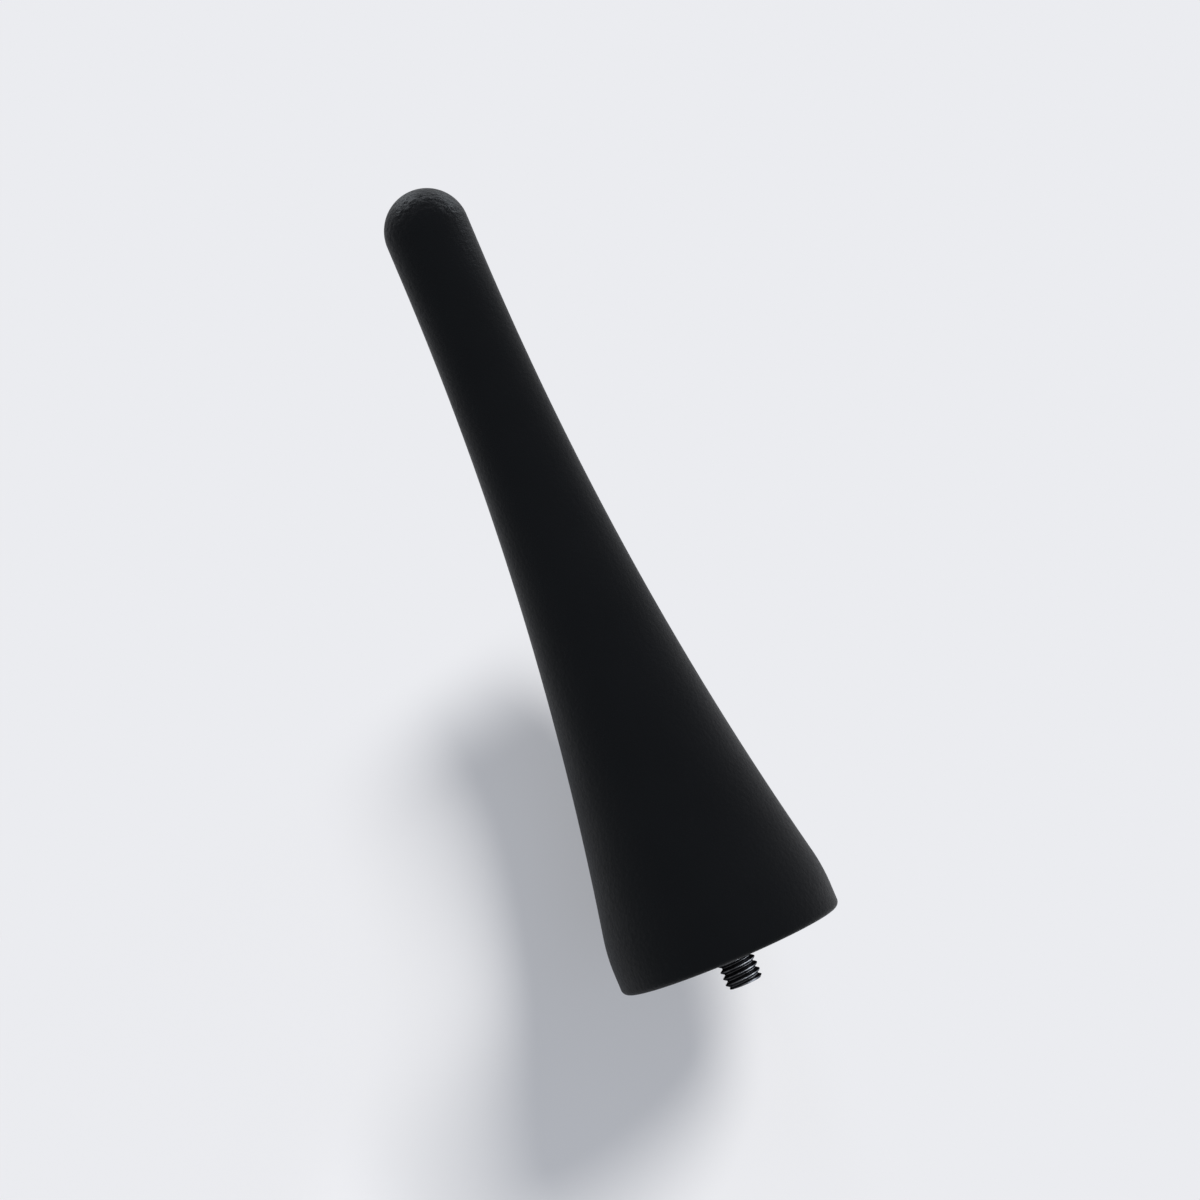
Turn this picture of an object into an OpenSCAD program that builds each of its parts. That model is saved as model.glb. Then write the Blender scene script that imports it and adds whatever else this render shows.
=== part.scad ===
// Short flared mast aerial for a car roof.
// A moulded cover sleeves a stiff foot core, a glass-fibre rod and a wound coil.
// It screws down by a metal stud. +Z runs up the mast and z = 0 is the seat on the roof base.

/* [Mast] */

// Height of the cover above its seat
body_len = 86.1; // [60:0.1:120]
// Diameter at the straight tip
tip_d = 9; // [7:0.1:12]
// Diameter of the upright band at the foot
foot_d = 24.5; // [18:0.1:32]
// Length of the straight tip with its dome
tip_run = 8.6; // [5:0.1:20]
// Height of the upright band
band_h = 2.4; // [1:0.1:6]
// Radius of the soft shoulder above the foot band
shoulder_r = 20; // [5:1:40]
// Radius of the lower outside edge
corner_r = 0.7; // [0.3:0.05:1.5]

/* [Cover] */

// Wall of the cover over the foot core
cover_t = 2.4; // [1.6:0.1:4]
// Solid thickness over the cap at the tip
tip_t = 3.4; // [2:0.1:6]
// Width of the rim that wraps under the core
rim_w = 3.25; // [2.8:0.05:4.5]
// Depth of the hollow under the foot
recess_h = 2.8; // [1:0.1:3.5]
// Chamfer inside the rim
rim_chamfer = 0.3; // [0.1:0.05:0.6]

/* [Foot core] */

// Wall of the core at its upper end
nose_t = 1.2; // [0.9:0.1:2]
// Chamfer round the core's upper end
nose_chamfer = 0.5; // [0.2:0.1:0.8]
// Wall of the hub round the stud's collar
hub_t = 0.8; // [0.6:0.1:1.2]
// Wall of the core outside the pockets, at their mouth
ring_t = 1.85; // [1.4:0.05:2.5]
// Depth of the cored pockets
pocket_h = 7.7; // [4:0.1:9]
// Slope of a pocket's outer wall over its depth
pocket_slope = 1; // [0.6:0.1:1.5]
// Draft of a pocket's inner wall over its depth
pocket_draft = 0.3; // [0.1:0.1:0.5]
// Radius in the pocket's inner corners, cut straight
pocket_bevel = 0.5; // [0.2:0.1:0.8]
// Ribs between the pockets
ribs = 6; // [3:1:8]
// Rib thickness
rib_t = 1.4; // [1:0.1:2]

/* [Stud] */

// Major diameter of the M4 thread
thread_d = 4; // [3:1:6]
// Stud length below the seat
stud_out = 3.7; // [3:0.1:8]
// Lead chamfer at the stud's end
stud_chamfer = 0.3; // [0.1:0.05:0.5]
// Collar diameter
collar_d = 7.2; // [6:0.1:8]
// Collar height
collar_h = 1.2; // [0.8:0.1:2]
// Knurled shank diameter
shank_d = 6; // [5:0.1:6.6]
// Knurl grooves round the shank
knurls = 20; // [12:1:28]
// Radius of a knurl groove
knurl_r = 0.22; // [0.1:0.02:0.4]
// Height of each knurled band
knurl_h = 3.4; // [2:0.1:5]
// Width of the locking groove between the bands
lock_h = 1.2; // [0.8:0.1:2]
// Diameter in the locking groove
lock_d = 4.6; // [4:0.1:5]
// Outside diameter of the rod socket
socket_d = 5.2; // [4.6:0.1:5.6]
// Length of the rod socket above the shank
socket_h = 5; // [3:0.5:8]
// Depth of the rod socket's bore
socket_depth = 6.5; // [4:0.5:8]

/* [Rod and coil] */

// Glass-fibre rod diameter
rod_d = 3; // [2:0.1:4]
// Rod length held in the cap
rod_seat = 1.15; // [0.5:0.05:2]
// Wire diameter
wire_d = 0.6; // [0.4:0.05:1]
// Turns in the close lower winding
close_turns = 20; // [5:1:40]
// Pitch of the close winding
close_pitch = 0.9; // [0.7:0.05:2]
// Turns in the open upper winding
open_turns = 16; // [5:1:40]
// Clear rod above the last turn
coil_clear = 0.5; // [0.3:0.1:3]
// Straight steps in one turn
turn_steps = 14; // [10:1:24]
// Sides of the wire
wire_sides = 6; // [5:1:10]
// Turn of the lead back from the first turn, in degrees
lead_turn = -25; // [-60:1:-10]

/* [Sleeve and cap] */

// Wall of the sleeve shrunk over the coil
sleeve_t = 0.4; // [0.3:0.05:0.8]
// Space between the rod socket and the sleeve, round the solder joint
joint_h = 3; // [2:0.1:5]
// Radial room round the rod socket's mouth for the solder joint
joint_room = 0.5; // [0.4:0.1:0.8]
// Sleeve length below the first turn
sleeve_lap = 1.1; // [0.8:0.1:3]
// Height of the cap
cap_h = 2.6; // [2:0.1:3.5]
// Chamfer round the cap
cap_chamfer = 0.9; // [0.3:0.1:1.2]
// Radius of the solder bead
solder_r = 0.85; // [0.6:0.05:1.1]

/* [Fit] */

// Gap between pieces that fit together
gap = 0.05; // [0.02:0.01:0.1]
// Gap between the rod and the wire wound on it
coil_gap = 0.1; // [0.06:0.01:0.2]
// Gap between the rod and the solder bead
bead_gap = 0.2; // [0.15:0.01:0.3]

/* [Hidden] */

tip_r = tip_d / 2;
foot_r = foot_d / 2;
thread_r = thread_d / 2;
rod_r = rod_d / 2;
wire_r = wire_d / 2;
coil_r = rod_r + coil_gap + wire_r;
sleeve_ir = coil_r + wire_r + gap;
sleeve_or = sleeve_ir + sleeve_t;
bore_r = sleeve_or + gap;
rim_r = foot_r - rim_w;
dome_z = body_len - tip_r;

collar_top = recess_h + collar_h;
lock_z = collar_top + knurl_h;
shank_top = lock_z + lock_h + knurl_h;
socket_top = shank_top + socket_h;
socket_floor = socket_top - socket_depth;
lead_end = socket_top + 2 * gap;

chamber_r = socket_d / 2 + joint_room;
chamber_top = socket_top + joint_h;
sleeve_z = chamber_top + 2 * gap;
coil_z = sleeve_z + sleeve_lap;
cap_top = body_len - tip_t - gap;
cap_z = cap_top - cap_h;
rod_top = cap_z + rod_seat;
coil_top = cap_z - coil_clear - wire_r;
open_pitch = (coil_top - coil_z - close_turns * close_pitch) / open_turns;

// The sweep is one arc. It leaves the straight tip at flare_top,
// and the shoulder arc that ends it turns upright at the top of the foot band.
flare_top = body_len - tip_run;
arc_sum = (pow(flare_top - band_h, 2) + pow(foot_r - tip_r, 2)) / (2 * (foot_r - tip_r));
flare_r = arc_sum - shoulder_r;
shoulder_top = band_h + (flare_top - band_h) * shoulder_r / arc_sum;

// The core ends where the sweep leaves just the nose's wall round the sleeve.
nose_r = bore_r + nose_t;
core_top = flare_top - sqrt(pow(flare_r, 2) - pow(flare_r + tip_r - nose_r - cover_t, 2));

hub_r = collar_d / 2 + hub_t;
pocket_top = recess_h + pocket_h;

$fn = 64;

// Outside radius of the mast at height z, below the dome and above the lower edge
function skin_r(z) =
    z < band_h ? foot_r :
    z < shoulder_top ? foot_r - shoulder_r + sqrt(pow(shoulder_r, 2) - pow(z - band_h, 2)) :
    z < flare_top ? tip_r + flare_r - sqrt(pow(flare_r, 2) - pow(flare_top - z, 2)) :
    tip_r;

// Evenly spaced heights from a to b in n steps
function heights(a, b, n) = [for (i = [0:n]) a + (b - a) * i / n];

// Points on an arc of radius r round [x, z], from angle a to angle b
function arc(x, z, r, a, b, n) =
    [for (i = [0:n]) let (t = a + (b - a) * i / n) [x + r * cos(t), z + r * sin(t)]];

core_steps = 16;
core_heights = heights(recess_h, core_top - nose_chamfer, core_steps);

// Outline of the foot core, moved in by s from the cover's inner wall
function core_side(s) = concat(
    [for (z = core_heights) [skin_r(z) - cover_t - s, z]],
    [[nose_r - nose_chamfer - s, core_top]]);

function reversed(p) = [for (i = [len(p) - 1:-1:0]) p[i]];

// The outline runs up the outside, over the dome and back down the inside
module sheath() {
    outside = concat(
        arc(foot_r - corner_r, corner_r, corner_r, -90, 0, 5),
        [for (z = heights(band_h, shoulder_top, 5)) [skin_r(z), z]],
        [for (i = [1:27]) let (z = shoulder_top + (flare_top - shoulder_top) * i / 27) [skin_r(z), z]],
        arc(0, dome_z, tip_r, 0, 90, 12));
    inside = concat(
        [[0, cap_top + gap], [bore_r - cap_chamfer, cap_top + gap], [bore_r, cap_top - cap_chamfer]],
        [[bore_r, core_top + gap], [nose_r - nose_chamfer, core_top + gap]],
        reversed(core_side(0)),
        [[rim_r, recess_h], [rim_r, rim_chamfer], [rim_r + rim_chamfer, 0]]);
    color([0.06, 0.06, 0.065])
        rotate_extrude($fn = 96)
            polygon(concat(outside, inside));
}

// Half outline of the stud above its thread, grown by s
function stud_side(s) = [
    [0, recess_h - s], [collar_d / 2 + s, recess_h - s],
    [collar_d / 2 + s, collar_top + s], [shank_d / 2 + s, collar_top + s],
    [shank_d / 2 + s, lock_z + s], [lock_d / 2 + s, lock_z + s],
    [lock_d / 2 + s, lock_z + lock_h - s], [shank_d / 2 + s, lock_z + lock_h - s],
    [shank_d / 2 + s, shank_top + s], [socket_d / 2 + s, shank_top + s],
    [socket_d / 2 + s, socket_top], [0, socket_top]];

// One ring of drafted pockets, cut into bays by the ribs
module pockets() {
    mouth_r = skin_r(recess_h) - cover_t - gap - ring_t;
    end_r = mouth_r - pocket_slope;
    start_r = hub_r + pocket_draft;
    bevel_z = pocket_top - pocket_bevel;
    difference() {
        rotate_extrude()
            polygon([[hub_r, recess_h - 0.1], [mouth_r, recess_h - 0.1],
                [end_r, bevel_z], [end_r - pocket_bevel, pocket_top],
                [start_r + pocket_bevel, pocket_top], [start_r, bevel_z]]);
        for (i = [0:ribs - 1])
            rotate([0, 0, i * 360 / ribs])
                translate([0, -rib_t / 2, 0])
                    cube([foot_r, rib_t, pocket_top + 1]);
    }
}

module foot_core() {
    color([0.2, 0.2, 0.21])
        difference() {
            rotate_extrude($fn = 96)
                polygon(concat([[0, recess_h]], core_side(gap), [[0, core_top]]));
            rotate_extrude()
                polygon(stud_side(gap));
            translate([0, 0, recess_h - 0.1])
                cylinder(r = collar_d / 2 + gap, h = 0.2);
            translate([0, 0, socket_top - 0.1])
                cylinder(r = chamber_r, h = chamber_top - socket_top + 0.1);
            translate([0, 0, chamber_top - 0.1])
                cylinder(r = bore_r, h = core_top);
            pockets();
        }
}

module threaded_stud() {
    color([0.2, 0.2, 0.22])
        difference() {
            union() {
                translate([0, 0, stud_chamfer - stud_out])
                    cylinder(r = thread_r, h = stud_out - stud_chamfer + recess_h + collar_h / 2);
                translate([0, 0, -stud_out])
                    cylinder(r1 = thread_r - stud_chamfer, r2 = thread_r, h = stud_chamfer);
                rotate_extrude()
                    polygon(stud_side(0));
            }
            translate([0, 0, socket_floor])
                cylinder(r = rod_r + gap, h = socket_depth + 1);
            for (i = [0:knurls - 1])
                rotate([0, 0, i * 360 / knurls])
                    translate([shank_d / 2 + knurl_r * 0.3, 0, collar_top + 0.4])
                        cylinder(r = knurl_r, h = shank_top - collar_top, $fn = 16);
        }
}

module coil_former() {
    color([0.82, 0.8, 0.62])
        translate([0, 0, socket_floor + gap])
            cylinder(r = rod_r, h = rod_top - socket_floor - gap);
}

// The wire's middle line: a straight lead, then the close turns, then the open turns
turns = close_turns + open_turns;
function coil_height(t) =
    coil_z + min(t, close_turns) * close_pitch + max(t - close_turns, 0) * open_pitch;
function on_rod(a, z) = [coil_r * cos(a), coil_r * sin(a), z];
wire_path = concat(
    [for (z = [lead_end, lead_end + 1.6, coil_z - 1]) on_rod(lead_turn, z)],
    [on_rod(lead_turn * 0.8, coil_z - 0.45), on_rod(lead_turn * 0.4, coil_z - 0.12)],
    [for (i = [0:turns * turn_steps]) on_rod(i * 360 / turn_steps, coil_height(i / turn_steps))]);

// A tube of n sides round a path that winds about the Z axis
module wire(path, r, n) {
    last = len(path) - 1;
    points = [for (i = [0:last])
        let (
            ahead = path[min(i + 1, last)] - path[max(i - 1, 0)],
            along = ahead / norm(ahead),
            side = cross(along, [path[i][0], path[i][1], 0]),
            up = side / norm(side),
            out = cross(up, along)
        )
        for (k = [0:n - 1])
            path[i] + r * (cos(k * 360 / n) * out + sin(k * 360 / n) * up)];
    walls = [for (i = [0:last - 1], k = [0:n - 1])
        let (a = i * n + k, b = i * n + (k + 1) % n)
        each [[a, b + n, b], [a, a + n, b + n]]];
    start = [[for (k = [0:n - 1]) k]];
    end = [[for (k = [n - 1:-1:0]) last * n + k]];
    polyhedron(points, concat(walls, start, end));
}

module aerial_coil() {
    color([0.72, 0.38, 0.2])
        wire(wire_path, wire_r, wire_sides);
}

module shrink_sleeve() {
    color([0.13, 0.13, 0.14])
        translate([0, 0, sleeve_z])
            difference() {
                cylinder(r = sleeve_or, h = cap_z - gap - sleeve_z);
                translate([0, 0, -1])
                    cylinder(r = sleeve_ir, h = cap_z);
            }
}

module solder_joint() {
    color([0.72, 0.73, 0.75])
        rotate([0, 0, lead_turn])
            difference() {
                translate([coil_r + bead_gap, 0, socket_top + bead_gap])
                    sphere(r = solder_r);
                translate([coil_r, 0, socket_floor])
                    cylinder(r = wire_r + gap, h = chamber_top - socket_floor);
                translate([0, 0, socket_floor])
                    cylinder(r = rod_r + bead_gap, h = chamber_top - socket_floor);
                translate([0, 0, socket_floor])
                    cylinder(r = chamber_r + solder_r, h = socket_top + gap - socket_floor);
            }
}

module former_cap() {
    color([0.84, 0.82, 0.74])
        difference() {
            union() {
                translate([0, 0, cap_z])
                    cylinder(r = sleeve_or, h = cap_h - cap_chamfer);
                translate([0, 0, cap_top - cap_chamfer])
                    cylinder(r1 = sleeve_or, r2 = sleeve_or - cap_chamfer, h = cap_chamfer);
            }
            translate([0, 0, cap_z - 1])
                cylinder(r = rod_r + gap, h = rod_seat + 1 + gap);
        }
}

sheath();
foot_core();
threaded_stud();
coil_former();
aerial_coil();
shrink_sleeve();
solder_joint();
former_cap();
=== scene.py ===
import bpy
import numpy as np
from mathutils import Matrix, Vector


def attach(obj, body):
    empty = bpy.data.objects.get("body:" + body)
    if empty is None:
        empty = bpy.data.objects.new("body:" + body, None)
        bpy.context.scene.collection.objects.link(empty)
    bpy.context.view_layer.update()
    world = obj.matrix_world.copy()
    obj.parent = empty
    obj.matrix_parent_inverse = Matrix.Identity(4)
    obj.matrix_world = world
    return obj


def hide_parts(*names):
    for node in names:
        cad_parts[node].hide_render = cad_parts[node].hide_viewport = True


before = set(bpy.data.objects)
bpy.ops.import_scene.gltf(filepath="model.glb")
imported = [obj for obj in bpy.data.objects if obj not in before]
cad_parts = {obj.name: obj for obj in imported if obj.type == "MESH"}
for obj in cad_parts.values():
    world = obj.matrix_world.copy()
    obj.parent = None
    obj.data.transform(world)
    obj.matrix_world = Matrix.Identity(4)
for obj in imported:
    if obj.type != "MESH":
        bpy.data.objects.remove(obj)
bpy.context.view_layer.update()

mm = 0.001
print("frame loaded:", ", ".join(sorted(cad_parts)))


class Flow:
    # One value in a shader graph. Arithmetic on it adds Math nodes, with plain numbers on either side.
    def __init__(self, tree, socket=None):
        self.tree = tree
        self.socket = socket

    def node(self, kind, settings=None, values=None, out=0):
        # any node: its settings first, then its inputs by name or number, and one of its outputs comes back
        made = self.tree.nodes.new(kind)
        for key, value in (settings or {}).items():
            setattr(made, key, value)
        for key, value in (values or {}).items():
            if isinstance(value, Flow):
                self.tree.links.new(value.socket, made.inputs[key])
            else:
                made.inputs[key].default_value = value
        return Flow(self.tree, made.outputs[out])

    def math(self, operation, *values):
        # a Math node on these values
        return self.node("ShaderNodeMath", {"operation": operation}, dict(enumerate(values)))

    def __add__(self, other):
        return self.math("ADD", self, other)

    def __radd__(self, other):
        return self.math("ADD", other, self)

    def __sub__(self, other):
        return self.math("SUBTRACT", self, other)

    def __rsub__(self, other):
        return self.math("SUBTRACT", other, self)

    def __mul__(self, other):
        return self.math("MULTIPLY", self, other)

    def __rmul__(self, other):
        return self.math("MULTIPLY", other, self)

    def atMost(self, other):
        # the smaller of the two
        return self.math("MINIMUM", self, other)

    def atLeast(self, other):
        # the larger of the two
        return self.math("MAXIMUM", self, other)

    def root(self):
        # square root
        return self.math("SQRT", self)

    def sine(self):
        # sine of this angle in radians
        return self.math("SINE", self)

    def ramp(self, low, high):
        # smooth step: 0 at low, 1 at high (either may be the larger)
        return self.node("ShaderNodeMapRange", {"interpolation_type": "SMOOTHSTEP"},
                         {"Value": self, "From Min": low, "From Max": high})

    def tint(self, first, second):
        # colour mix by this value: first at 0, second at 1
        ends = [end if isinstance(end, Flow) else (*end, 1.0) for end in (first, second)]
        return self.node("ShaderNodeMix", {"data_type": "RGBA"}, {0: self, 6: ends[0], 7: ends[1]}, 2)

    def stretch(self, x, y, z):
        # vector times a vector: a pattern runs long where the number is small
        return self.node("ShaderNodeVectorMath", {"operation": "MULTIPLY"}, {0: self, 1: (x, y, z)})

    def noise(self, size, detail=2.0, rough=0.5):
        # noise at this place, with lumps of about size metres
        return self.node("ShaderNodeTexNoise", {},
                         {"Vector": self, "Scale": 1.0 / size, "Detail": detail, "Roughness": rough})

    def cells(self, size):
        # distance to the nearest of many scattered points, about size metres apart
        return self.node("ShaderNodeTexVoronoi", {}, {"Vector": self, "Scale": 1.0 / size})

    def bump(self, depth, strength=1.0):
        # this height, 0 to 1, stands depth metres high
        return self.node("ShaderNodeBump", {}, {"Height": self, "Distance": depth, "Strength": strength})


class Look:
    # One material: a principled shader with fixed values, and flows linked to the sockets that vary.
    def __init__(self, name, **fixed):
        self.material = bpy.data.materials.new(name)
        self.material.use_nodes = True
        tree = self.material.node_tree
        self.tree = tree
        self.shader = tree.nodes["Principled BSDF"]
        for key, value in fixed.items():
            self.shader.inputs[key.replace("_", " ")].default_value = value
        self.root = Flow(tree)
        self.place = self.root.node("ShaderNodeTexCoord", out="Object")

    def parts(self):
        # x, y and z of the place, in metres
        split = self.place.node("ShaderNodeSeparateXYZ", {}, {"Vector": self.place})
        node = split.socket.node
        return [Flow(self.tree, node.outputs[k]) for k in range(3)]

    def link(self, **flows):
        # each named socket follows its flow
        for key, flow in flows.items():
            self.tree.links.new(flow.socket, self.shader.inputs[key.replace("_", " ")])


def between(ends, part):
    # low + (high - low) * part
    low, high = ends
    return low + (high - low) * part


def addMesh(name, points, quads, fans, look):
    # A mesh object from arrays: points n x 3 in metres, quads m x 4, fans k x 3.
    data = bpy.data.meshes.new(name)
    loops = np.concatenate([quads.ravel(), fans.ravel()]).astype(np.int32)
    starts = np.concatenate([np.arange(len(quads)) * 4, len(quads) * 4 + np.arange(len(fans)) * 3]).astype(np.int32)
    data.vertices.add(len(points))
    data.vertices.foreach_set("co", points.astype(np.float32).ravel())
    data.loops.add(len(loops))
    data.loops.foreach_set("vertex_index", loops)
    data.polygons.add(len(starts))
    data.polygons.foreach_set("loop_start", starts)
    data.update(calc_edges=True)
    data.validate()
    data.polygons.foreach_set("use_smooth", np.ones(len(data.polygons), bool))
    data.materials.append(look.material)
    made = bpy.data.objects.new(name, data)
    bpy.context.scene.collection.objects.link(made)
    return made


def lathe(name, radius, height, look, sharp=None):
    # A closed turned surface: radius and height are rows x columns in mm, the first and last row are on the axis.
    # The rows run down the outside and back up the inside, which makes the faces look outward.
    rows, columns = radius.shape
    angle = np.arange(columns) * 2 * np.pi / columns
    body = np.stack([radius * np.cos(angle), radius * np.sin(angle), height], 2)[1:-1].reshape(-1, 3)
    ends = np.array([[0, 0, height[0, 0]], [0, 0, height[-1, 0]]])
    points = np.concatenate([body, ends]) * mm
    here = np.arange((rows - 2) * columns).reshape(rows - 2, columns)
    beside = np.roll(here, -1, 1)
    quads = np.stack([here[:-1], here[1:], beside[1:], beside[:-1]], 2).reshape(-1, 4)
    top = np.full(columns, len(body))
    fans = np.concatenate([np.stack([top, here[0], beside[0]], 1), np.stack([top + 1, beside[-1], here[-1]], 1)])
    made = addMesh(name, points, quads, fans, look)
    if sharp:
        made.data.set_sharp_from_angle(angle=np.radians(sharp))
    return made


def arcRows(x, z, r, start, end, count):
    # points on an arc of radius r round (x, z), between two angles in degrees
    turn = np.radians(np.linspace(start, end, count))
    return np.stack([x + r * np.cos(turn), z + r * np.sin(turn)], 1)


def lineRows(*corners, step=0.6):
    # points along straight lines, no further apart than step
    rows = [np.array([corners[0]], float)]
    for a, b in zip(corners[:-1], corners[1:]):
        a, b = np.array(a, float), np.array(b, float)
        count = max(1, int(np.ceil(np.linalg.norm(b - a) / step)))
        rows.append(a + (b - a) * (np.arange(1, count + 1) / count)[:, None])
    return np.concatenate(rows)


def standFor(made, node):
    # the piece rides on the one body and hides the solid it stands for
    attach(made, "root")
    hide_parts(node)


# level with the mast and turned about the line of sight, so that the mast leans left; place in metres
photoView = {"lean": 22.95, "place": (0.00162, -0.421, 0.03908), "lens": 120.9}


def addCamera(view):
    # right and up are the frame's X and Z turned by the lean about the line of sight, which is +Y
    lean = np.radians(view["lean"])
    right = Vector((np.cos(lean), 0, -np.sin(lean)))
    up = Vector((np.sin(lean), 0, np.cos(lean)))
    data = bpy.data.cameras.new("photoCamera")
    data.lens = view["lens"]
    data.sensor_width = 36
    data.clip_start, data.clip_end = 0.01, 20
    made = bpy.data.objects.new("photoCamera", data)
    turn = Matrix((right, up, Vector((0, -1, 0)))).transposed()
    made.matrix_world = Matrix.Translation(view["place"]) @ turn.to_4x4()
    bpy.context.scene.collection.objects.link(made)
    bpy.context.scene.camera = made
    return right, up


right, up = addCamera(photoView)
toCamera = Vector((0, -1, 0))
print("camera placed")


# In metres. The sheet lies behind the mast's axis and is a little tilted. half is half its side, fine its finely meshed
# part, wall its colour and studio the level that the world alone lights it to. The glow share is the part of its own
# brightness that it has everywhere as a painted glow, which lightens its shadow; past the fade and clear lines, which
# slant across the picture, it has all of it and the shadow there is painted out.
stage = {
    "wall": (0.831, 0.839, 0.871), "studio": (0.265, 0.288, 0.329), "behind": 0.0177, "tiltRight": -0.0165,
    "tiltUp": 0.0166, "half": 1.5, "fine": (-0.12, 0.08, 134), "paintedGlow": 0.35, "fadeAt": -0.003, "fadeWide": 0.016,
    "fadeSlant": 0.64, "clearFrom": -0.002, "clearTo": 0.006, "clearSlant": 0.42,
}
# soft folds of the sheet in mm: how far back, its middle to the right and up, and its spread
folds = {
    "lowerLeft": (6, -40, -30, 9), "waist": (-5, -26, -6, 8),
    "besideMast": (-6, -24, 12, 10), "underFoot": (4, 2, -13, 8),
}
wallNormal = (toCamera + right * stage["tiltRight"] + up * stage["tiltUp"]).normalized()


def sheetDepth(x, y, s):
    # distance behind the mast's axis at x to the right and y up: a tilted plane plus a bell for each fold
    depth = s["behind"] + s["tiltRight"] * x + s["tiltUp"] * y
    for back, midX, midY, spread in np.array(list(folds.values())) * mm:
        depth = depth + back * np.exp(-((x - midX) ** 2 + (y - midY) ** 2) / (2 * spread ** 2))
    return depth


def addSheet(name, s, look):
    # A square sheet at the depth above, finely meshed behind the mast, with steps that grow towards its edges.
    # It is shaded as a plane, so that its folds only bend the shadow.
    low, high, count = s["fine"]
    past = 1.1  # the growing steps start a little past the fine part
    steps = np.concatenate([
        -np.geomspace(s["half"], -low * past, 8),
        np.linspace(low, high, count),
        np.geomspace(high * past, s["half"], 8),
    ])
    x, y = np.meshgrid(steps, steps, indexing="ij")
    frameAxes = np.array([right, up, toCamera])
    points = np.stack([x, y, -sheetDepth(x, y, s)], 2).reshape(-1, 3) @ frameAxes
    here = np.arange(x.size).reshape(x.shape)
    quads = np.stack([here[:-1, :-1], here[1:, :-1], here[1:, 1:], here[:-1, 1:]], 2).reshape(-1, 4)
    made = addMesh(name, points, quads, np.zeros((0, 3), int), look)
    made.data.normals_split_custom_set_from_vertices(np.tile(wallNormal, (len(points), 1)))
    return made


def seenRays(root):
    # 1 for camera, gloss and clear rays and 0 for all others: the sum of the three, at most 1
    names = ("Is Camera Ray", "Is Glossy Ray", "Is Transmission Ray")
    camera, gloss, clear = [root.node("ShaderNodeLightPath", out=name) for name in names]
    return (camera + gloss + clear).atMost(1.0)


def floorLook(s):
    # A pale matt sheet. The camera, gloss and clear rays see part of it as an even painted glow that lightens its
    # shadow:
    # more and more of it towards the mast's tip, so that the shadow is deepest at the foot and is painted out above it,
    # and all of it on the mast's right, where the shadow is painted out as well.
    look = Look("paleFloor", Base_Color=(*s["wall"], 1), Roughness=0.9, Specular_IOR_Level=0.0)
    x, _, z = look.parts()
    middle = Vector(photoView["place"])
    height = x * up.x + z * up.z - up.dot(middle)
    beside = x * right.x + z * right.z - right.dot(middle)
    half = s["fadeWide"] / 2
    # painted light: towards the tip this ramp lets the glow paint the cast shadow out
    fade = (height - beside * s["fadeSlant"]).ramp(s["fadeAt"] - half, s["fadeAt"] + half)
    # painted light: on the mast's right this ramp lets the glow paint the cast shadow out
    shadowPaintedOutRight = (beside + height * s["clearSlant"]).ramp(s["clearFrom"], s["clearTo"])
    part = seenRays(look.root) * between((s["paintedGlow"], 1.0), fade.atLeast(shadowPaintedOutRight))
    # the painted glow: an emission that only camera, gloss and clear rays see, so it lights nothing
    paintedGlow = look.root.node("ShaderNodeEmission", {}, {"Color": (*s["wall"], 1), "Strength": 1.0})
    sheet = look.root.node("ShaderNodeMixShader", {}, {0: part, 1: Flow(look.tree, look.shader.outputs[0]), 2: paintedGlow})
    # from behind, the sheet lets everything through, so that the back of the mast can be looked at
    behind = look.root.node("ShaderNodeNewGeometry", out="Backfacing")
    clear = look.root.node("ShaderNodeBsdfTransparent")
    sheet = look.root.node("ShaderNodeMixShader", {}, {0: behind, 1: sheet, 2: clear})
    look.tree.links.new(sheet.socket, look.tree.nodes["Material Output"].inputs["Surface"])
    return look


def addWorld(s):
    # camera, gloss and clear rays see the pale studio, all others get its soft light
    world = bpy.data.worlds.new("studio")
    bpy.context.scene.world = world
    world.use_nodes = True
    root = Flow(world.node_tree)
    colour = seenRays(root).tint(s["studio"], s["wall"])
    world.node_tree.links.new(colour.socket, world.node_tree.nodes["Background"].inputs["Color"])


def addSun(name, towards, strength, width):
    # a lamp far away in the direction towards, width degrees across
    data = bpy.data.lights.new(name, "SUN")
    data.energy, data.angle = strength, np.radians(width)
    made = bpy.data.objects.new(name, data)
    made.rotation_mode = "QUATERNION"
    made.rotation_quaternion = towards.to_track_quat("Z", "Y")
    bpy.context.scene.collection.objects.link(made)
    return made


def addSoftbox(name, place, facing, along, size, radiance):
    # A rectangular lamp that shines towards facing, with its first side along the last direction given.
    # Its power is radiance times area times pi, and a radiance of 1 is as bright as a white background.
    data = bpy.data.lights.new(name, "AREA")
    data.shape, data.size, data.size_y = "RECTANGLE", size[0], size[1]
    data.energy = radiance * size[0] * size[1] * np.pi
    made = bpy.data.objects.new(name, data)
    back = -facing.normalized()
    along = (along - back * back.dot(along)).normalized()
    turn = Matrix((along, back.cross(along), back)).transposed()
    made.matrix_world = Matrix.Translation(place) @ turn.to_4x4()
    made.visible_camera = False
    bpy.context.scene.collection.objects.link(made)
    return made


addSheet("floor", stage, floorLook(stage))
addWorld(stage)

# The key lamp brings the sheet up from the studio's level to 1 and throws the shadow: the two colours add up to white.
keyLamp = {"turn": 61.8, "off": 52.8, "width": 18.0}
turn, off = np.radians(keyLamp["turn"]), np.radians(keyLamp["off"])
towards = (right * np.cos(turn) + up * np.sin(turn)) * np.sin(off) + toCamera * np.cos(off)
share = 1 - np.array(stage["studio"])
key = addSun("keyLamp", towards, np.pi * share.max() / wallNormal.dot(towards), keyLamp["width"])
key.data.color = share / share.max()
key.visible_glossy = False

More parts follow.
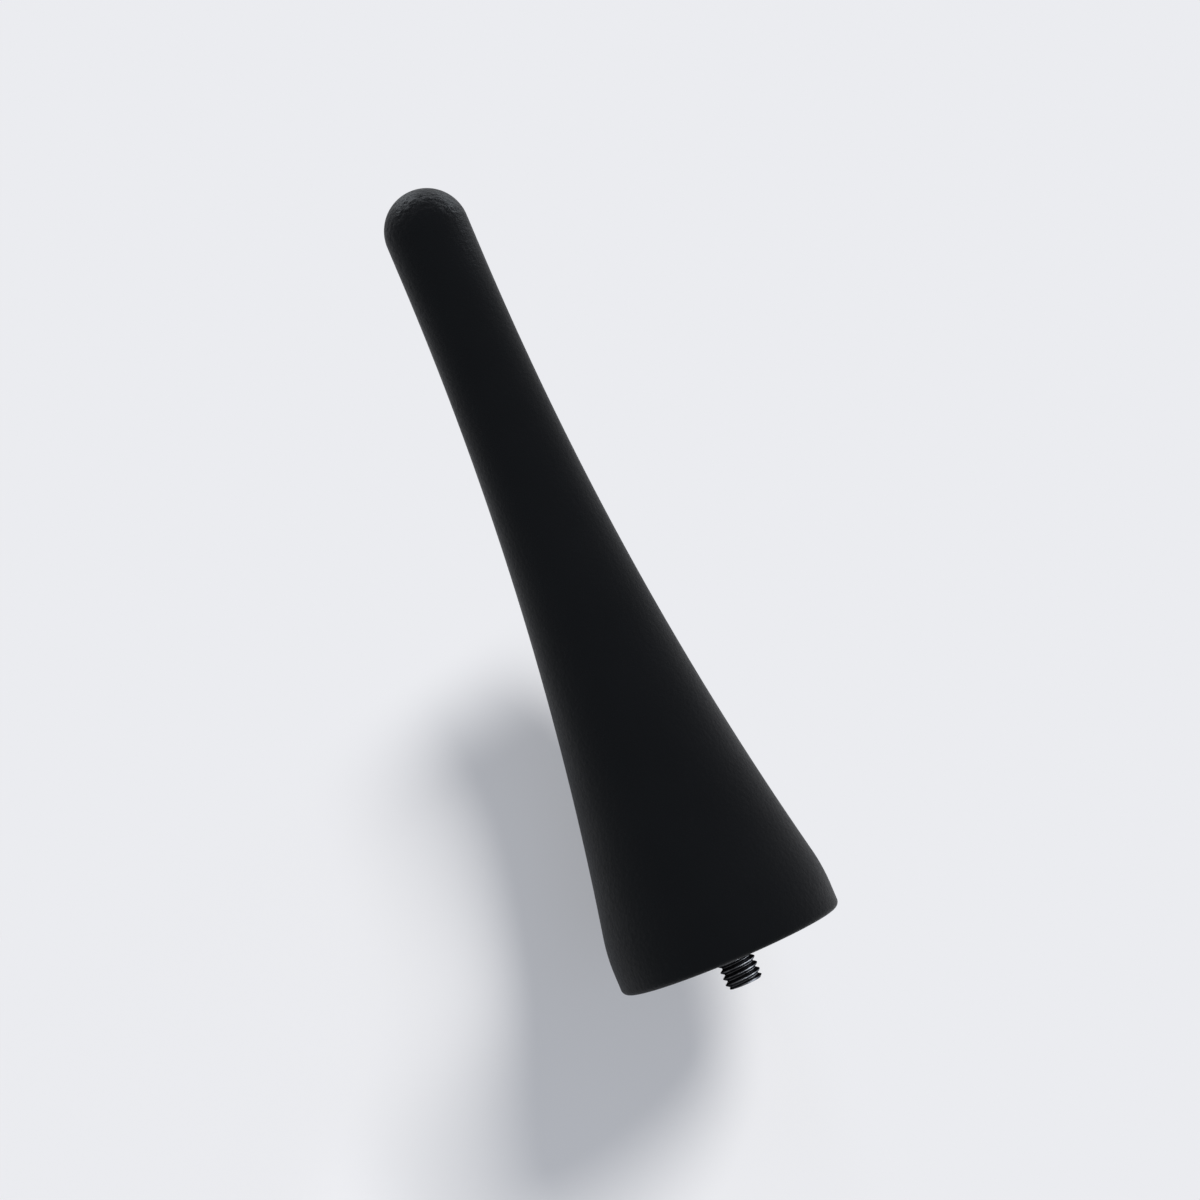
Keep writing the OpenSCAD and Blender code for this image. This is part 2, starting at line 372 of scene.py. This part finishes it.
# These lamps are only for gloss. A place is right, up and towards the camera from aim, in metres. With a turn, the
# lamp looks at the camera and its first side runs along that angle in the picture; without, it looks at its aim.
domeMiddle = (0, 0, 0.0816)
glossLamps = {
    "tipLeftLamp": {"aim": domeMiddle, "place": (-0.0162, 0.0250, -0.0072), "turn": 123,
                    "size": (0.030, 0.014), "radiance": 5.0},
    "tipRightLamp": {"aim": domeMiddle, "place": (0.0172, 0.0243, -0.0072), "turn": 54.7,
                     "size": (0.030, 0.014), "radiance": 5.0},
    "tipMiddleLamp": {"aim": domeMiddle, "place": (0.0005, 0.0298, -0.0072), "turn": 89,
                      "size": (0.030, 0.014), "radiance": 1.7},
}
coolWhite = (0.90, 0.95, 1.0)


def addGlossLamp(name, s):
    # the lamp's middle is its aim plus its place along right, up and towards the camera
    aim = Vector(s["aim"])
    place = aim + right * s["place"][0] + up * s["place"][1] + toCamera * s["place"][2]
    if "turn" in s:
        turn = np.radians(s["turn"])
        facing, along = toCamera, right * np.cos(turn) + up * np.sin(turn)
    else:
        facing, along = aim - place, toCamera
    lamp = addSoftbox(name, place, facing, along, s["size"], s["radiance"])
    lamp.data.color = coolWhite
    lamp.visible_diffuse = False
    return lamp


for name, lampSettings in glossLamps.items():
    addGlossLamp(name, lampSettings)
print("floor, world and lamps placed")


# the moulded cover is one closed turned surface; lengths in mm
cover = {
    "length": 86.1, "tipR": 4.5, "footR": 12.25, "flareTop": 77.5, "bandTop": 2.4, "shoulderR": 20.0, "cornerR": 0.7,
    "wall": 2.4, "rimR": 9.0, "rimChamfer": 0.3, "hollow": 2.8, "coreTop": 42.214, "noseR": 3.4, "boreR": 2.7,
    "boreTop": 82.7, "boreChamfer": 0.9, "noseEdge": 0.55, "denseFrom": 8, "bandRows": (1.8, 1.2),
    "step": 0.6, "columns": 224,
}


def skinRadius(z):
    # outside radius at height z: an upright band, a shoulder arc, one long hollow arc, then the straight tip
    c = cover
    rise, reach = c["flareTop"] - c["bandTop"], c["footR"] - c["tipR"]
    both = (rise ** 2 + reach ** 2) / (2 * reach)
    sweep = both - c["shoulderR"]
    shoulderTop = c["bandTop"] + rise * c["shoulderR"] / both
    shoulder = c["footR"] - c["shoulderR"] + np.sqrt(np.clip(c["shoulderR"] ** 2 - (z - c["bandTop"]) ** 2, 0, None))
    hollowArc = c["tipR"] + sweep - np.sqrt(np.clip(sweep ** 2 - (c["flareTop"] - z) ** 2, 0, None))
    aboveBand = np.where(z < shoulderTop, shoulder, np.where(z < c["flareTop"], hollowArc, c["tipR"]))
    return np.where(z < c["bandTop"], c["footR"], aboveBand)


def makeSheath(look):
    # A closed profile turned round the axis: down the outside from the dome's pole, round the lower edge, across the
    # seat and back up the inside. The rows lie closer together from the shoulder down.
    c = cover
    domeZ = c["length"] - c["tipR"]
    down = np.concatenate([
        np.linspace(domeZ, c["flareTop"], 6)[1:], np.linspace(c["flareTop"], c["denseFrom"], 72)[1:],
        np.linspace(c["denseFrom"], c["bandTop"], 14)[1:], c["bandRows"],
    ])
    outside = np.concatenate([
        arcRows(0, domeZ, c["tipR"], 90, 0, 40),
        np.stack([skinRadius(down), down], 1),
        arcRows(c["footR"] - c["cornerR"], c["cornerR"], c["cornerR"], 0, -90, 10),
    ])
    seat = lineRows((c["footR"] - c["cornerR"], 0), (c["rimR"] + c["rimChamfer"], 0), (c["rimR"], c["rimChamfer"]),
                    (c["rimR"], c["hollow"]))
    innerZ = np.concatenate([[c["hollow"]], np.linspace(c["hollow"] + c["step"], c["coreTop"] - c["noseEdge"], 40)])
    bore = lineRows((c["boreR"], c["coreTop"]), (c["boreR"], c["boreTop"] - c["boreChamfer"]),
                    (c["boreR"] - c["boreChamfer"], c["boreTop"]), (0, c["boreTop"]), step=2.0)
    inside = np.concatenate([
        seat[1:],
        np.stack([skinRadius(innerZ) - c["wall"], innerZ], 1),
        [[c["noseR"], c["coreTop"]], [c["boreR"], c["coreTop"]]],
        bore[1:],
    ])
    profile = np.concatenate([outside, inside])
    profile[0, 0] = profile[-1, 0] = 0
    radius = np.repeat(profile[:, :1], c["columns"], 1)
    height = np.repeat(profile[:, 1:], c["columns"], 1)
    return lathe("mastCover", radius, height, look, sharp=38)


# sizes and heights in metres; lumpDepth is how much deeper than the grain the dome's lumps are
elastomer = {
    "dark": (0.0015, 0.0016, 0.0019), "pale": (0.0022, 0.0023, 0.0028), "dust": (0.0037, 0.0040, 0.0047),
    "grain": 0.00034, "pit": 0.0006, "streak": 0.00028, "mottle": 0.009, "lump": 0.0007, "dustSize": 0.0011,
    "lumpDepth": 2.4, "depth": 0.00008, "nearTip": (0.045, 0.079), "onDome": (0.0800, 0.0830),
    "gloss": (0.44, 0.56), "level": 0.10, "tint": (0.82, 0.92, 1.0),
}


def elastomerLook(s):
    # Spark-eroded mould grain: fine lumps, sparser pits, and streaks drawn out round the mast that show most near the
    # tip. The base mottles softly and the grain's tops are a little paler. The dome has coarser lumps as well.
    look = Look("mouldedElastomer", Specular_IOR_Level=s["level"], Specular_Tint=(*s["tint"], 1))
    place = look.place
    z = look.parts()[2]
    fine = place.noise(s["grain"], 3.0, 0.62)
    pits = place.cells(s["pit"])
    streaks = place.stretch(0.3, 0.3, 1.0).noise(s["streak"], 3.0, 0.6)
    nearTip = z.ramp(*s["nearTip"])
    onDome = z.ramp(*s["onDome"])
    patch = place.noise(s["mottle"], 3.0, 0.55).ramp(0.30, 0.72)
    lumps = place.noise(s["lump"], 2.0, 0.5)
    height = fine * 0.7 + pits * 0.35 + streaks * (0.2 + 0.8 * nearTip) + lumps * onDome * s["lumpDepth"]
    tops = fine.ramp(0.42, 0.72)
    base = (patch * 0.5 + tops * 0.5).tint(s["dark"], s["pale"])
    dust = place.noise(s["dustSize"], 4.0, 0.7).ramp(0.60, 0.80) * 0.5
    look.link(Base_Color=dust.tint(base, s["dust"]),
              Roughness=between(s["gloss"], tops * 0.6 + (1.0 - patch) * 0.4),
              Normal=height.bump(s["depth"], 0.8))
    return look


mastCover = makeSheath(elastomerLook(elastomer))
standFor(mastCover, "sheath")
print("cover made:", len(mastCover.data.polygons), "faces")


# thread, collar, knurled shank and rod socket in one turned surface; lengths in mm
studShape = {
    "major": 2.0, "depth": 0.35, "pitch": 0.7, "end": -3.7, "chamfer": 0.3, "threadFrom": 2.78, "threadRows": 150,
    "neckFrom": 2.3, "neckFade": 0.35, "neckR": 1.685, "collarFrom": 2.8, "collarTo": 4.0, "collarR": 3.6,
    "edge": 0.12, "fillet": 0.05, "shankR": 3.0, "grooves": 20, "grooveR": 0.22, "grooveOut": 0.3, "shankFrom": 4.38,
    "knurlFrom": 4.42, "knurlTo": 11.95, "knurlRows": 6, "knurlEdge": 0.06, "lockFrom": 7.4, "lockTo": 8.6,
    "lockR": 2.3, "shankTo": 12.0, "socketR": 2.6, "socketTo": 17.0, "boreR": 1.55, "boreFloor": 10.5,
    "mouth": 0.15, "columns": 240,
}


def threadRadius(z, angle, s):
    # Right-hand thread: the phase rises with height and falls with angle, and the radius is the major radius less a
    # cosine wave of that phase, which gives the worn crests and the roots.
    phase = z / s["pitch"] - angle / (2 * np.pi)
    return s["major"] - s["depth"] * (0.5 - 0.5 * np.cos(2 * np.pi * phase))


def grooveRadius(angle, s):
    # the shank's radius less a row of circles whose centres lie a little outside its surface
    spacing = 2 * np.pi / s["grooves"]
    across = np.abs((angle + spacing / 2) % spacing - spacing / 2) * s["shankR"]
    cut = np.sqrt(np.clip(s["grooveR"] ** 2 - across ** 2, 0, None)) - s["grooveOut"] * s["grooveR"]
    return s["shankR"] - np.clip(cut, 0, None)


def makeStud(look):
    # Bands of rows, each a radius grid and its heights: up the socket's bore and over its mouth, down the shank and
    # round the collar, down the thread, and across the end. A plain ring has the same radius all round.
    s = studShape
    edge, mouth = s["edge"], s["mouth"]
    angle = np.arange(s["columns"]) * 2 * np.pi / s["columns"]
    socket = lineRows((s["boreR"], s["boreFloor"]), (s["boreR"], s["socketTo"] - mouth),
                      (s["boreR"] + mouth, s["socketTo"]), (s["socketR"] - edge, s["socketTo"]),
                      (s["socketR"], s["socketTo"] - edge), (s["socketR"], s["shankTo"]), step=1.0)
    socket = np.concatenate([[[0, s["boreFloor"]]], socket, [[s["shankR"] - s["grooveR"], s["shankTo"]]]])
    lock = np.array([[s["lockR"], s["lockTo"]], [s["lockR"], s["lockFrom"]]])
    collar = lineRows((s["shankR"], s["collarTo"]), (s["collarR"] - edge, s["collarTo"]),
                      (s["collarR"], s["collarTo"] - edge), (s["collarR"], s["collarFrom"] + edge),
                      (s["collarR"] - edge, s["collarFrom"]))
    topRing, bottomRing = [s["shankR"], s["shankFrom"]], [s["major"] + s["fillet"], s["collarFrom"]]
    collar = np.concatenate([[topRing], collar, [bottomRing]])
    face = np.array([[s["major"] - s["chamfer"] - s["depth"], s["end"]], [0, s["end"]]])
    knurled = grooveRadius(angle, s)
    upper = np.linspace(s["knurlTo"], s["lockTo"], s["knurlRows"])
    lower = np.linspace(s["lockFrom"], s["knurlFrom"], s["knurlRows"])
    topRow = (upper == upper[0])[:, None]
    # the thread runs out into a plain neck just under the collar, and into the lead chamfer at the end
    down = np.linspace(s["threadFrom"], s["end"], s["threadRows"])
    neck = np.clip((down - s["neckFrom"]) / s["neckFade"], 0, 1)[:, None]
    lead = (s["major"] - s["chamfer"] + down - s["end"])[:, None]
    thread = threadRadius(down[:, None], angle, s) * (1 - neck) + s["neckR"] * neck
    bands = [
        (socket[:, :1], socket[:, 1]), (knurled - s["knurlEdge"] * topRow, upper), (lock[:, :1], lock[:, 1]),
        (knurled[None, :], lower), (collar[:, :1], collar[:, 1]), (np.minimum(thread, lead), down),
        (face[:, :1], face[:, 1]),
    ]
    radius = np.concatenate([np.broadcast_to(r, (len(z), s["columns"])) for r, z in bands])
    height = np.repeat(np.concatenate([z for r, z in bands])[:, None], s["columns"], 1)
    return lathe("threadedStud", radius, height, look, sharp=42)


# sizes and radii in metres; the plating is rubbed off over the crest radii and whole again past the crestEnd ones
plating = {
    "dark": (0.0340, 0.0345, 0.0365), "pale": (0.0650, 0.0660, 0.0700), "worn": (0.140, 0.143, 0.150),
    "tool": 0.0009, "cloud": 0.0008, "grit": 0.00012, "depth": 0.000006, "crest": (0.00188, 0.00199),
    "crestEnd": (0.0022, 0.00205), "gloss": (0.28, 0.42), "tint": (0.2, 0.2, 0.22),
}


def platingLook(s):
    # black plating on turned steel: fine rings from the tool, a cloudy tone, and bare metal where the crests rub
    look = Look("blackPlatedSteel", Metallic=1.0, Specular_Tint=(*s["tint"], 1))
    x, y, _ = look.parts()
    radius = (x * x + y * y).root()
    rings = look.place.stretch(1, 1, 14).noise(s["tool"], 3.0, 0.6)
    cloud = look.place.noise(s["cloud"], 3.0, 0.55)
    crest = radius.ramp(*s["crest"]) * radius.ramp(*s["crestEnd"])
    rub = crest * cloud.ramp(0.42, 0.66) * 0.5
    base = (cloud.ramp(0.3, 0.7) * 0.7 + rings * 0.3).tint(s["dark"], s["pale"])
    look.link(Base_Color=rub.tint(base, s["worn"]),
              Roughness=between(s["gloss"], rings),
              Normal=(rings * 0.6 + look.place.noise(s["grit"], 2.0) * 0.4).bump(s["depth"], 0.7))
    return look


threadedStud = makeStud(platingLook(plating))
standFor(threadedStud, "threaded_stud")

# the bright flanks on the stud's right come from a lamp beside and below it that lights the stud alone
studLight = {"aim": (0, 0, -0.002), "place": (0.0276, -0.0098, 0.0), "size": (0.044, 0.044), "radiance": 10.0}
studLamp = addGlossLamp("studLamp", studLight)
studOnly = bpy.data.collections.new("studOnly")
studOnly.objects.link(threadedStud)
studLamp.light_linking.receiver_collection = studOnly
print("stud made:", len(threadedStud.data.polygons), "faces")


# the coil's round wire: a straight lead, close turns, then open turns; lengths in mm
winding = {
    "coilR": 1.9, "wireR": 0.3, "start": 21.2, "leadFrom": 17.1, "leadAngle": -25.0, "closeTurns": 20,
    "closePitch": 0.9, "openTurns": 16, "openPitch": 2.50312, "bend": 1.0, "bendRows": 13, "steps": 44, "sides": 12,
}


def windingPath(s):
    # A helix of radius coilR: up the rod at a fixed angle, round a quarter curve into the first turn, then two steady
    # pitches, where the height is the turns times their pitch.
    bendFrom = s["start"] - s["bend"]
    leadZ = np.linspace(s["leadFrom"], bendFrom, s["bendRows"] + 1)[:-1]
    bend = np.radians(np.linspace(0, 90, s["bendRows"] + 1))[:-1]
    turn = np.arange((s["closeTurns"] + s["openTurns"]) * s["steps"] + 1) / s["steps"]
    near, far = np.minimum(turn, s["closeTurns"]), np.maximum(turn - s["closeTurns"], 0)
    angle = np.concatenate([np.full(len(leadZ), s["leadAngle"]), s["leadAngle"] * np.cos(bend), turn * 360.0])
    height = np.concatenate([leadZ, bendFrom + s["bend"] * np.sin(bend),
                             s["start"] + near * s["closePitch"] + far * s["openPitch"]])
    angle = np.radians(angle)
    return np.stack([s["coilR"] * np.cos(angle), s["coilR"] * np.sin(angle), height], 1)


def makeCoil(look):
    # A circle of radius wireR round each point of the path, square to it: cos times outwards plus sin times sideways.
    # A middle point closes each end.
    s = winding
    path = windingPath(s)
    ahead = np.gradient(path, axis=0)
    along = ahead / np.linalg.norm(ahead, axis=1)[:, None]
    outward = path * [1, 1, 0]
    side = np.cross(along, outward)
    side /= np.linalg.norm(side, axis=1)[:, None]
    out = np.cross(side, along)
    turn = np.arange(s["sides"]) * 2 * np.pi / s["sides"]
    circle = np.cos(turn)[None, :, None] * out[:, None] + np.sin(turn)[None, :, None] * side[:, None]
    rings = path[:, None] + s["wireR"] * circle
    count, sides = len(path), s["sides"]
    points = np.concatenate([rings.reshape(-1, 3), path[:1], path[-1:]]) * mm
    here = np.arange(count * sides).reshape(count, sides)
    beside = np.roll(here, -1, 1)
    quads = np.stack([here[:-1], here[1:], beside[1:], beside[:-1]], 2).reshape(-1, 4)
    first, last = np.full(sides, count * sides), np.full(sides, count * sides + 1)
    fans = np.concatenate([np.stack([first, here[0], beside[0]], 1), np.stack([last, beside[-1], here[-1]], 1)])
    return addMesh("aerialCoil", points, quads, fans, look)


enamel = {
    "deep": (0.62, 0.26, 0.13), "pale": (0.82, 0.42, 0.22), "burnt": (0.26, 0.08, 0.04),
    "drift": 0.004, "burn": 0.0009, "ripple": 0.0004, "depth": 0.000004, "gloss": (0.18, 0.32), "coat": 0.6,
}


def enamelLook(s):
    # enamelled copper: the varnish deepens the red in slow drifts along the wire, with a few darker burns
    look = Look("enamelledCopper", Metallic=1.0, Coat_Weight=s["coat"], Coat_Roughness=0.08)
    drift = look.place.stretch(0.5, 0.5, 1).noise(s["drift"], 3.0, 0.6)
    burn = look.place.noise(s["burn"], 2.0).ramp(0.66, 0.78) * 0.5
    base = drift.ramp(0.3, 0.7).tint(s["deep"], s["pale"])
    look.link(Base_Color=burn.tint(base, s["burnt"]),
              Roughness=between(s["gloss"], drift),
              Normal=look.place.noise(s["ripple"], 2.0).bump(s["depth"], 0.5))
    return look


aerialCoil = makeCoil(enamelLook(enamel))
standFor(aerialCoil, "aerial_coil")
print("coil made:", len(aerialCoil.data.polygons), "faces")


nylon = {
    "dark": (0.040, 0.040, 0.044), "pale": (0.066, 0.066, 0.071), "fibre": (0.12, 0.12, 0.12),
    "flow": 0.004, "strand": 0.0003, "skin": 0.0002, "depth": 0.000012, "gloss": (0.48, 0.68),
}


def nylonLook(s):
    # glass-filled nylon: cloudy flow marks, short pale fibres near the surface, a dull skin
    look = Look("glassFilledNylon", Specular_IOR_Level=0.4)
    flow = look.place.stretch(1, 1, 0.35).noise(s["flow"], 4.0, 0.6)
    fibres = look.place.stretch(1, 1, 0.2).noise(s["strand"], 2.0, 0.5).ramp(0.62, 0.74) * 0.35
    base = flow.ramp(0.3, 0.72).tint(s["dark"], s["pale"])
    look.link(Base_Color=fibres.tint(base, s["fibre"]),
              Roughness=between(s["gloss"], flow),
              Normal=look.place.noise(s["skin"], 3.0, 0.6).bump(s["depth"], 0.6))
    return look


rod = {
    "dark": (0.60, 0.55, 0.34), "pale": (0.80, 0.78, 0.60), "resin": (0.70, 0.62, 0.36),
    "strand": 0.00022, "patch": 0.006, "depth": 0.00001, "gloss": (0.30, 0.55),
}


def rodLook(s):
    # pultruded glass fibre: long pale and darker strands in a yellowish resin
    look = Look("glassFibreRod", Specular_IOR_Level=0.5)
    strands = look.place.stretch(1, 1, 0.02).noise(s["strand"], 3.0, 0.6)
    resin = look.place.noise(s["patch"], 2.0).ramp(0.5, 0.8) * 0.3
    base = strands.ramp(0.35, 0.68).tint(s["dark"], s["pale"])
    look.link(Base_Color=resin.tint(base, s["resin"]),
              Roughness=between(s["gloss"], strands),
              Normal=strands.bump(s["depth"], 0.6))
    return look


tube = {
    "dark": (0.020, 0.020, 0.021), "pale": (0.036, 0.036, 0.038), "turns": 0.0009, "turnsEnd": (0.0395, 0.0385),
    "wrinkle": 0.0006, "depth": 0.00004, "gloss": (0.36, 0.54),
}


def tubeLook(s):
    # heat-shrunk tube: a satin skin that shows the turns under it as faint ripples, with small wrinkles
    look = Look("heatShrunkTube", Specular_IOR_Level=0.45)
    z = look.parts()[2]
    ripple = (z * (2 * np.pi / s["turns"])).sine() * 0.5 + 0.5
    fade = z.ramp(*s["turnsEnd"])
    wrinkle = look.place.stretch(1, 1, 0.3).noise(s["wrinkle"], 3.0, 0.6)
    look.link(Base_Color=wrinkle.ramp(0.35, 0.7).tint(s["dark"], s["pale"]),
              Roughness=between(s["gloss"], wrinkle),
              Normal=(ripple * fade * 0.7 + wrinkle * 0.5).bump(s["depth"], 0.6))
    return look


solder = {
    "dark": (0.58, 0.59, 0.61), "pale": (0.74, 0.75, 0.77), "flux": (0.42, 0.27, 0.10),
    "grain": 0.00018, "film": 0.0005, "depth": 0.00001, "gloss": (0.22, 0.42),
}


def solderLook(s):
    # solder: bright and slightly grainy, with an amber film of flux in patches
    look = Look("brightSolder", Metallic=1.0)
    grains = look.place.cells(s["grain"])
    film = look.place.noise(s["film"], 3.0, 0.6).ramp(0.5, 0.66) * 0.4
    base = grains.ramp(0.1, 0.6).tint(s["dark"], s["pale"])
    look.link(Base_Color=film.tint(base, s["flux"]),
              Roughness=between(s["gloss"], grains),
              Normal=grains.bump(s["depth"], 0.6))
    return look


cap = {
    "thick": (0.74, 0.71, 0.58), "pale": (0.86, 0.84, 0.76), "flow": 0.0016, "skin": 0.0003, "scatter": 0.0008,
    "depth": 0.00001, "gloss": (0.38, 0.58),
}


def capLook(s):
    # natural nylon: milky and faintly yellow, paler in light flow marks
    look = Look("naturalNylon", Specular_IOR_Level=0.45, Subsurface_Weight=0.25, Subsurface_Scale=s["scatter"])
    flow = look.place.noise(s["flow"], 3.0, 0.6)
    look.link(Base_Color=flow.ramp(0.3, 0.7).tint(s["thick"], s["pale"]),
              Roughness=between(s["gloss"], flow),
              Normal=look.place.noise(s["skin"], 2.0).bump(s["depth"], 0.4))
    return look


def dress(node, look):
    # gives a kept solid its material
    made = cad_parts[node]
    made.data.materials.clear()
    made.data.materials.append(look.material)


keptLooks = {
    "foot_core": nylonLook(nylon), "coil_former": rodLook(rod), "shrink_sleeve": tubeLook(tube),
    "solder_joint": solderLook(solder), "former_cap": capLook(cap),
}
for node, look in keptLooks.items():
    dress(node, look)
print("kept solids dressed")


bpy.context.scene.view_settings.view_transform = "Standard"

print("scene complete")
